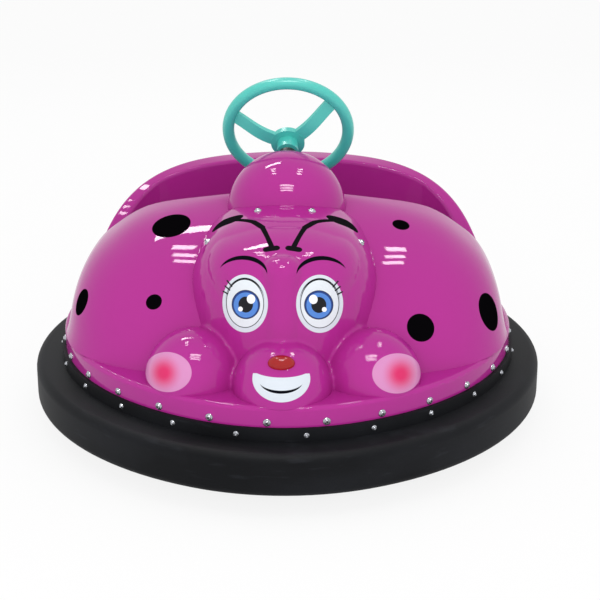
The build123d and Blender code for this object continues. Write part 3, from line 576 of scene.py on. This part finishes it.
# %% Ring and tyres
ring_rubber = Finish("moulded black rubber", paint(14, 15, 18), 0.62, Specular_IOR_Level=0.12)
dust = (ring_rubber.grain(3.0, 5.0, (1.0, 1.0, 2.5)) - 0.42) * 2.2
scuffs = (ring_rubber.grain(38.0, 3.0, (0.35, 0.35, 2.2)) - 0.60) * 6.0
marks = (dust.within_one() * 0.35 + scuffs.within_one() * 0.25).within_one()
ring_rubber.set("Base Color", ring_rubber.over(marks, paint(12, 13, 16), paint(54, 56, 62)))
ring_rubber.set("Roughness", marks * 0.22 + 0.56)
ring_rubber.relief(ring_rubber.grain(420.0, 2.0), 0.00018)
ring_rubber.wear("bumper_ring", slot="bumper")

GROOVE_PITCH = 0.006


def tyre_rubber(name, axis_y, axis_z, middle_x, radius):
    """Solid tyre: dull rubber with grooves round the tread, one for every GROOVE_PITCH of its width."""
    finish = Finish(name, paint(40, 41, 44), 0.75)
    x, y, z = finish.split(finish.place())
    out = ((y - axis_y) * (y - axis_y) + (z - axis_z) * (z - axis_z)) ** 0.5
    tread = ((out - (radius - 0.004)) / 0.002).within_one()
    across = abs(x - middle_x)
    wave = across.sum_of("PINGPONG", across, GROOVE_PITCH) - GROOVE_PITCH / 2
    groove = (1.0 - abs(wave) / 0.0012).within_one()
    finish.relief(1.0 - groove * tread, 0.0016)
    return finish


for side, name in ((1, "left"), (-1, "right")):
    low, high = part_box(f"tyre_rear_{name}")
    middle = (low + high) / 2
    rear = tyre_rubber(f"rear tyre rubber {name}", middle.y, middle.z, middle.x, (high.z - low.z) / 2)
    rear.wear(f"tyre_rear_{name}", slot="tyre")
low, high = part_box("drive_tyre")
middle = (low + high) / 2
drive = tyre_rubber("drive tyre rubber", middle.y, middle.z, middle.x, (high.z - low.z) / 2)
drive.wear("drive_tyre", slot="tyre")
print("ring and three tyres")

# %% [markdown]
# ## Steering wheel, metal and battery cases
# The steering wheel is injection-moulded teal plastic with a soft sheen, not a gloss. Under the body
# everything is plain: black painted tube, dark grey floor sheet, grey castings and bright steel. Castings
# keep the sand's grain. Nothing on these pieces is printed, so each needs one colour and at most a fine
# relief or an uneven roughness, worked out from noise so that no picture has to be fitted to them. The
# ribs of the pedal's rubber are a relief too, from its distance along Y.

# %% Plain finishes
sheen = {"Specular_IOR_Level": 0.5, "Coat_Weight": 0.25, "Coat_Roughness": 0.2}
teal = Finish("teal plastic", paint(74, 196, 184), 0.34, **sheen)
teal.relief(teal.grain(900.0, 1.0), 0.00003)
teal.wear("steering_wheel", "hub_cap", slot="wheel")

black_paint = Finish("black painted steel", paint(28, 28, 31), 0.42)
black_paint.relief(black_paint.grain(260.0, 2.0), 0.00008)
frame_solids = [s["node"] for s in frame["record"]["subparts"] if s["material_slot"] == "frame"]
black_paint.wear(*frame_solids, slot="frame")

floor_paint = Finish("grey floor paint", paint(70, 71, 76), 0.55)
floor_paint.relief(floor_paint.grain(320.0, 2.0), 0.0001)
floor_paint.wear("floor_plate", slot="floor")

steel = Finish("bright steel", paint(168, 170, 174), 0.28, Metallic=1.0)
steel.set("Roughness", steel.grain(60.0, 2.0, (1.0, 12.0, 12.0)) * 0.2 + 0.2)
steel.wear("rear_axle", "axle_collar_left", "axle_collar_right", slot="steel")
steel.wear("drive_axle", "steering_column", slot="steel")

cast = Finish("grey casting", paint(92, 94, 98), 0.6, Metallic=0.6)
cast.relief(cast.grain(300.0, 3.0), 0.0003)
cast.wear("drive_fork", "drive_motor", "steering_gearbox", slot="cast")

hub_metal = Finish("cast aluminium", paint(176, 178, 182), 0.4, Metallic=1.0)
hub_metal.wear("hub_rear_left", "hub_rear_right", "drive_hub", slot="hub")

case_plastic = Finish("battery case", paint(36, 37, 42), 0.5)
case_plastic.wear("battery_left", "battery_right", slot="battery")

pedal_rubber = Finish("pedal rubber", paint(30, 30, 32), 0.7)
x, y, z = pedal_rubber.split(pedal_rubber.place())
pedal_rubber.relief((abs(y.sum_of("PINGPONG", y, 0.005) - 0.0025) / 0.0012).within_one(), 0.0015)
pedal_rubber.wear("foot_pedal", slot="pedal")
bare = [name for name, solid in solids.items() if not solid.data.materials]
print("solids without a finish:", bare)


# %% [markdown]
# ## Surfaces from arrays
# A screw head is a profile turned round its own axis. Its points are one small table: a row for each
# point of the profile and a column for each step of the turn. The table is then set down wherever a screw
# sits by turning its axes to the surface's own. All screws of one row make one mesh, worked out as one
# array.

# %% Turned heads and where they sit
def turned(profile, steps):
    """Points (radius cos t, radius sin t, height) for each profile point and each t, from the middle out.

    The profile starts on the axis. Faces run from ring to ring, and a fan of triangles closes the middle.
    """
    turns = 2 * np.pi * np.arange(steps) / steps
    radius, level = np.array(profile[1:]).T
    levels = np.repeat(level[:, None], steps, 1)
    rings = np.stack([np.outer(radius, np.cos(turns)), np.outer(radius, np.sin(turns)), levels], -1)
    points = np.vstack([[0.0, 0.0, profile[0][1]], rings.reshape(-1, 3)])
    step = np.arange(steps)
    after = (step + 1) % steps
    fan = np.stack([np.zeros(steps, int), 1 + step, 1 + after], -1).tolist()
    rows = (1 + steps * np.arange(len(radius) - 1))[:, None]
    quads = np.stack([rows + step, rows + steps + step, rows + steps + after, rows + after], -1)
    return points, fan + quads.reshape(-1, 4).tolist()


def set_down(name, shape, seats, finish, body, smooth=True):
    """One mesh with a copy of shape at each seat: point times the seat's three axes, plus its place."""
    points, faces = shape
    places = np.array([seat[0] for seat in seats])
    out = np.array([seat[1] for seat in seats])
    out = out / np.linalg.norm(out, axis=1)[:, None]
    lead = np.where(np.abs(out[:, 2:]) > 0.9, [[0.0, 1.0, 0.0]], [[0.0, 0.0, 1.0]])
    side = np.cross(lead, out)
    side = side / np.linalg.norm(side, axis=1)[:, None]
    axes = np.stack([side, np.cross(out, side), out], 1)
    copies = np.einsum("pk,skc->spc", points, axes) + places[:, None, :]
    firsts = len(points) * np.arange(len(seats))
    faces = [[corner + int(first) for corner in face] for first in firsts for face in faces]
    piece(name, copies.reshape(-1, 3), faces, finish, body, smooth)


def piece(name, points, faces, finish, body, smooth=True):
    """A mesh object at the origin from an array of points, riding on a body of the frame."""
    mesh = bpy.data.meshes.new(name)
    mesh.from_pydata(np.asarray(points).tolist(), [], faces)
    mesh.shade_smooth() if smooth else mesh.shade_flat()
    mesh.materials.append(finish.material)
    made = bpy.data.objects.new(name, mesh)
    bpy.context.scene.collection.objects.link(made)
    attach(made, body)
    return made


def met(surface, starts, directions):
    """Where each ray first meets an object, with the surface's outward direction there."""
    tree = BVHTree.FromObject(surface, bpy.context.evaluated_depsgraph_get())
    hits = [tree.ray_cast(Vector(start), Vector(direction)) for start, direction in zip(starts, directions)]
    return [(np.array(hit[0]), np.array(hit[1])) for hit in hits if hit[0] is not None]


def round_the_ring(solid, level, count, first):
    """Seats evenly spaced round the outside of a solid at a level.

    With the outline's length measured from the nose, seat n is at first + length * n / count along it.
    """
    angles = np.linspace(-np.pi / 2, 3 * np.pi / 2, 361)
    heading = np.stack([np.cos(angles), np.sin(angles), np.zeros_like(angles)], -1)
    outside = heading + [0.0, 0.0, level]
    line = np.array([hit[0] for hit in met(solid, outside, -heading)])
    length = np.concatenate([[0.0], np.cumsum(np.linalg.norm(np.diff(line, axis=0), axis=1))])
    wanted = (first + length[-1] * np.arange(count) / count) % length[-1]
    spots = np.stack([np.interp(wanted, length, line[:, axis]) for axis in range(3)], -1)
    away = spots * [1.0, 1.0, 0.0]
    away = away / np.linalg.norm(away, axis=1)[:, None]
    return met(solid, spots + 0.2 * away, -away)


print("a turned head has", len(turned([(0, 1), (1, 1), (2, 0)], 12)[1]), "faces for 3 profile points")

# %% [markdown]
# ## The head as one skin
# On the real moulding the band, the face, its ridge, the muzzle and the cheeks flow into one another, as
# they do on a pattern that was filled and rubbed down. The solids meet in sharp lines. Here each rise is a
# profile carried round a path with two round ends, a voxel remesh makes one skin of them all, and
# smoothing rounds the seams. What would lie unseen inside the hood is then left out.

# %% Rises of the head
HEAD_FOOT = 0.203
HEAD_BACK = -0.013
MUZZLE_MIDDLE = (0.0, -0.458, 0.214)
MUZZLE_RADIUS = 0.101
CHEEK_MIDDLE = (0.182, -0.398, 0.212)
CHEEK_RADIUS = 0.102
VOXEL = 0.004
ROUNDING = 4


def arch(radius, top, crown, shoulder):
    """Profile (radius, level): up an upright side, round the shoulder's arc and over the crown's arc.

    The arcs run into each other without a kink, because their middles are crown - shoulder apart.
    """
    middle = radius - shoulder
    level = top - crown + math.sqrt((crown - shoulder) ** 2 - middle**2)
    lean = math.asin(middle / (crown - shoulder))
    low = np.linspace(0, np.pi / 2 - lean, 12)
    high = np.linspace(np.pi / 2 - lean, np.pi / 2, 12)[1:]
    sides = np.stack([middle + shoulder * np.cos(low), level + shoulder * np.sin(low)], -1)
    over = np.stack([crown * np.cos(high), top - crown + crown * np.sin(high)], -1)
    return np.vstack([[[0.0, HEAD_FOOT], [radius, HEAD_FOOT]], sides, over])


def ball(radius, level):
    """Profile of a ball: radius cos t and level + radius sin t, from its foot to its top."""
    angles = np.linspace(-np.pi / 2, np.pi / 2, 28)
    return np.stack([radius * np.cos(angles), level + radius * np.sin(angles)], -1)


def carried(profile, front, back, x=0.0, steps=56):
    """A profile carried round a path with two round ends, as points and quads.

    Each point is (x + radius cos t, middle + radius sin t, level). The middle is at front for the half turn
    that faces the nose and at back for the other.
    """
    turns = 2 * np.pi * (np.arange(steps) + 0.5) / steps
    middle = np.where(np.sin(turns) < 0, front, back)
    radius, level = profile.T
    levels = np.repeat(level[:, None], steps, 1)
    grid = [x + np.outer(radius, np.cos(turns)), middle + np.outer(radius, np.sin(turns)), levels]
    row = steps * np.arange(len(profile) - 1)[:, None]
    step = np.arange(steps)
    after = (step + 1) % steps
    quads = np.stack([row + step, row + after, row + steps + after, row + steps + step], -1)
    return np.stack(grid, -1).reshape(-1, 3), quads.reshape(-1, 4)


def ball_at(middle, radius):
    """Points and quads of a ball about its middle."""
    x, y, z = middle
    return carried(ball(radius, z), y, y, x)


rises = {
    "band": carried(arch(radius=0.196, top=0.517, crown=0.300, shoulder=0.140), front=-0.250, back=-0.150),
    "face": carried(arch(radius=0.166, top=0.511, crown=0.280, shoulder=0.080), front=-0.292, back=-0.215),
    "ridge": carried(arch(radius=0.042, top=0.482, crown=0.060, shoulder=0.030), front=-0.426, back=-0.340),
    "muzzle": ball_at(MUZZLE_MIDDLE, MUZZLE_RADIUS),
    "cheek left": ball_at(CHEEK_MIDDLE, CHEEK_RADIUS),
    "cheek right": ball_at((-CHEEK_MIDDLE[0], *CHEEK_MIDDLE[1:]), CHEEK_RADIUS),
}
counts = np.cumsum([0] + [len(points) for points, quads in rises.values()])
head_points = np.vstack([points for points, quads in rises.values()])
head_quads = np.vstack([quads + first for (points, quads), first in zip(rises.values(), counts)])
rough = piece("head_rough", head_points, head_quads.tolist(), face_coat, "chassis")
skin = rough.modifiers.new("one skin", "REMESH")
skin.mode = "VOXEL"
skin.voxel_size = VOXEL
rub = rough.modifiers.new("rubbed down", "SMOOTH")
rub.factor = 0.5
rub.iterations = ROUNDING
graph = bpy.context.evaluated_depsgraph_get()
smoothed = bpy.data.meshes.new_from_object(rough.evaluated_get(graph))
print("head:", len(head_quads), "faces of rises,", len(smoothed.polygons), "of skin")

# %% [markdown]
# ## Only what shows
# The rises run on inside the hood, where nobody sees them. A boolean could cut them off at the hood. A ray
# up and a ray forward from the middle of each face is simpler, and it leaves a margin of skin that runs in
# under the hood's edge. A face goes where the hood is farther over it than the margin and isn't that near
# in front, and where the column cover is that far over it.

# %% Leave out what lies inside the hood
points = np.empty(len(smoothed.vertices) * 3, np.float32)
smoothed.vertices.foreach_get("co", points)
points = points.reshape(-1, 3)
quads = np.empty(len(smoothed.polygons) * 4, np.int32)
smoothed.polygons.foreach_get("vertices", quads)
quads = quads.reshape(-1, 4)
middles = points[quads].mean(axis=1)


def depth_under(solid, places, direction):
    """How far each place is from a solid along a direction, endless where it meets nothing."""
    tree = BVHTree.FromObject(solids[solid], bpy.context.evaluated_depsgraph_get())
    heading = Vector(direction)
    hits = [tree.ray_cast(Vector(place), heading)[3] for place in places]
    return np.array([math.inf if hit is None else hit for hit in hits])


COVERED = 0.009
under_hood = depth_under("body_shell", middles, (0.0, 0.0, 1.0))
behind_hood = depth_under("body_shell", middles, (0.0, -1.0, 0.0))
under_cover = depth_under("column_cover", middles, (0.0, 0.0, 1.0))
hidden = np.isfinite(under_hood) & (under_hood > COVERED) & (behind_hood > COVERED)
hidden |= np.isfinite(under_cover) & (under_cover > COVERED)
seen = ~hidden & (middles[:, 2] > HEAD_FOOT + 0.002) & (middles[:, 1] < HEAD_BACK)
used, renumbered = np.unique(quads[seen], return_inverse=True)
head = piece("head_skin", points[used], renumbered.reshape(-1, 4).tolist(), face_coat, "chassis")
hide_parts("face_panel", "cheek_left", "cheek_right")
bpy.data.objects.remove(rough)
print("head skin:", int(seen.sum()), "faces kept of", len(quads))

# %% [markdown]
# ## The nose
# The nose is a flat oval button on the upper front of the muzzle. It could be sculpted, but a ball does it
# with its three half sizes set along the muzzle's own directions there: across, up the slope and outward.
# It is let in a little, so that no gap shows at its edge.

# %% Nose
NOSE_LEAN = math.radians(50)
NOSE_HALF = (0.0270, 0.0160, 0.0160)
NOSE_SUNK = 0.002
lean_out = np.array([0.0, -math.cos(NOSE_LEAN), math.sin(NOSE_LEAN)])
lean_up = np.array([0.0, math.sin(NOSE_LEAN), math.cos(NOSE_LEAN)])
unit, nose_quads = carried(ball(1.0, 0.0), 0.0, 0.0, steps=32)
nose_axes = np.stack([[NOSE_HALF[0], 0.0, 0.0], NOSE_HALF[1] * lean_up, NOSE_HALF[2] * lean_out])
nose_middle = np.array(MUZZLE_MIDDLE) + (MUZZLE_RADIUS - NOSE_SUNK) * lean_out
nose = piece("nose_button", unit @ nose_axes + nose_middle, nose_quads.tolist(), nose_coat, "chassis")
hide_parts("nose")
print("nose at", nose_middle.round(3))

# %% [markdown]
# ## Screws
# The body is held to its steel hoop by a row of bright socket screws in cupped washers, and the rubber
# ring by smaller ones a little lower. Four more hold the head moulding to the hood. Modelled one by one
# they would be over fifty objects. Here a row is one turned profile set down at each seat. On the skirt
# and the head moulding the hole for the key is not cut. A dark six-sided piece in the middle of the screw
# is painted shade, standing for the shade in that hole.

# %% Screws on the skirt, the ring and the head
bright = Finish("bright plated screw", paint(178, 180, 186), 0.26, Metallic=0.9)

# Each row is a radius and a height above the surface that the screw sits on.
CUPPED_SCREW = [
    (0.0, 0.0030),
    (0.0026, 0.0030),
    (0.0028, 0.0060),
    (0.0034, 0.0058),
    (0.0046, 0.0047),
    (0.0050, 0.0032),
    (0.0053, 0.0026),
    (0.0066, 0.0028),
    (0.0078, 0.0019),
    (0.0083, 0.0006),
    (0.0083, -0.0010),
]
SMALL_SCREW = [(radius * 0.72, level * 0.75) for radius, level in CUPPED_SCREW]
cupped = turned(CUPPED_SCREW, 18)
SKIRT_SCREW_LEVEL = 0.1775
RING_SCREW_LEVEL = 0.1530
# The dark six-sided piece is painted shade: a dark lid that stands for the shade in the screw's key hole.
SOCKET_SHADE = turned([(0.0, 0.0066), (0.0026, 0.0064), (0.0030, 0.0040)], 6)
socket_shade_paint = Finish("painted shade in screw socket", paint(38, 38, 42), 0.5)

skirt_seats = round_the_ring(solids["body_shell"], SKIRT_SCREW_LEVEL, 28, -0.028)
set_down("skirt_screws", cupped, skirt_seats, bright, "chassis")
set_down("skirt_screw_socket_shade", SOCKET_SHADE, skirt_seats, socket_shade_paint, "chassis")
ring_seats = round_the_ring(solids["bumper_ring"], RING_SCREW_LEVEL, 24, -0.090)
set_down("ring_screws", turned(SMALL_SCREW, 14), ring_seats, bright, "chassis")

OUTER_SCREW = ((0.160, -0.262, 0.458), (-0.6, 0.1, -0.8))
INNER_SCREW = ((0.057, -0.208, 0.511), (-0.1, 0.0, -1.0))
order = ((OUTER_SCREW, -1), (INNER_SCREW, -1), (INNER_SCREW, 1), (OUTER_SCREW, 1))
screw_places, inward = np.stack([np.array(screw) * (side, 1, 1) for screw, side in order], 1)
head_seats = met(head, screw_places - 0.1 * inward, inward)
set_down("head_screws", cupped, head_seats, bright, "chassis")
set_down("head_screw_socket_shade", SOCKET_SHADE, head_seats, socket_shade_paint, "chassis")
print("screws:", len(skirt_seats), "skirt,", len(ring_seats), "ring,", len(head_seats), "head")

# %% [markdown]
# ## Bolts and battery terminals
# Under the seat and behind the skirt the car has a workshop's small parts: five bolts on each wheel's
# hub, and two low posts and a row of filler caps on each battery. Their seats are found by casting rays
# at the solids, so they sit on whatever face is there.

# %% Hub bolts, battery posts and caps
BOLTS = 5
BOLT_SHARE = 0.62
HEX_HEAD = turned([(0.0, 0.0046), (0.0044, 0.0046), (0.0050, 0.0040), (0.0050, -0.0010)], 6)


def bolt_circle(node, side, finish, body):
    """Bolts at (middle + radius cos t, middle + radius sin t) on a node's face towards +X or -X.

    The radius is BOLT_SHARE times half the node's height.
    """
    low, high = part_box(node)
    middle = (low + high) / 2
    radius = BOLT_SHARE * (high.z - low.z) / 2
    turns = 2 * np.pi * (np.arange(BOLTS) + 0.5) / BOLTS
    outside = (high.x if side > 0 else low.x) + side * 0.02
    circle = [middle.y + radius * np.cos(turns), middle.z + radius * np.sin(turns)]
    starts = np.stack([np.full(BOLTS, outside), *circle], -1)
    seats = met(solids[node], starts, [(-side, 0.0, 0.0)] * BOLTS)
    set_down(f"{node}_bolts", HEX_HEAD, seats, finish, body, smooth=False)


zinc = Finish("zinc plated bolt", paint(176, 178, 176), 0.38, Metallic=0.9)
bolt_circle("hub_rear_left", 1, zinc, "rear_wheel_left")
bolt_circle("hub_rear_right", -1, zinc, "rear_wheel_right")
bolt_circle("drive_hub", -1, zinc, "drive_wheel")

lead = Finish("battery post", paint(150, 152, 156), 0.5, Metallic=0.8)
POST = turned([(0.0, 0.0030), (0.0068, 0.0030), (0.0078, 0.0022), (0.0085, -0.001)], 16)
CAP = turned([(0.0, 0.0024), (0.0075, 0.0024), (0.0085, 0.0016), (0.0088, -0.001)], 14)
for name in ("battery_left", "battery_right"):
    low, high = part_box(name)
    middle, half = (low + high) / 2, (high - low) / 2
    down = [0.0, 0.0, -1.0]
    over = high.z + 0.01
    post_starts = [(middle.x + side * 0.72 * half.x, middle.y - 0.78 * half.y, over) for side in (-1, 1)]
    post_seats = met(solids[name], post_starts, [down] * 2)
    set_down(f"{name}_posts", POST, post_seats, lead, "chassis")
    cap_line = middle.x + np.linspace(-0.75, 0.75, 6) * half.x
    cap_starts = [(x, middle.y + 0.2 * half.y, over) for x in cap_line]
    cap_seats = met(solids[name], cap_starts, [down] * 6)
    set_down(f"{name}_caps", CAP, cap_seats, case_plastic, "chassis")
print("bolts on three hubs, posts and caps on two batteries")
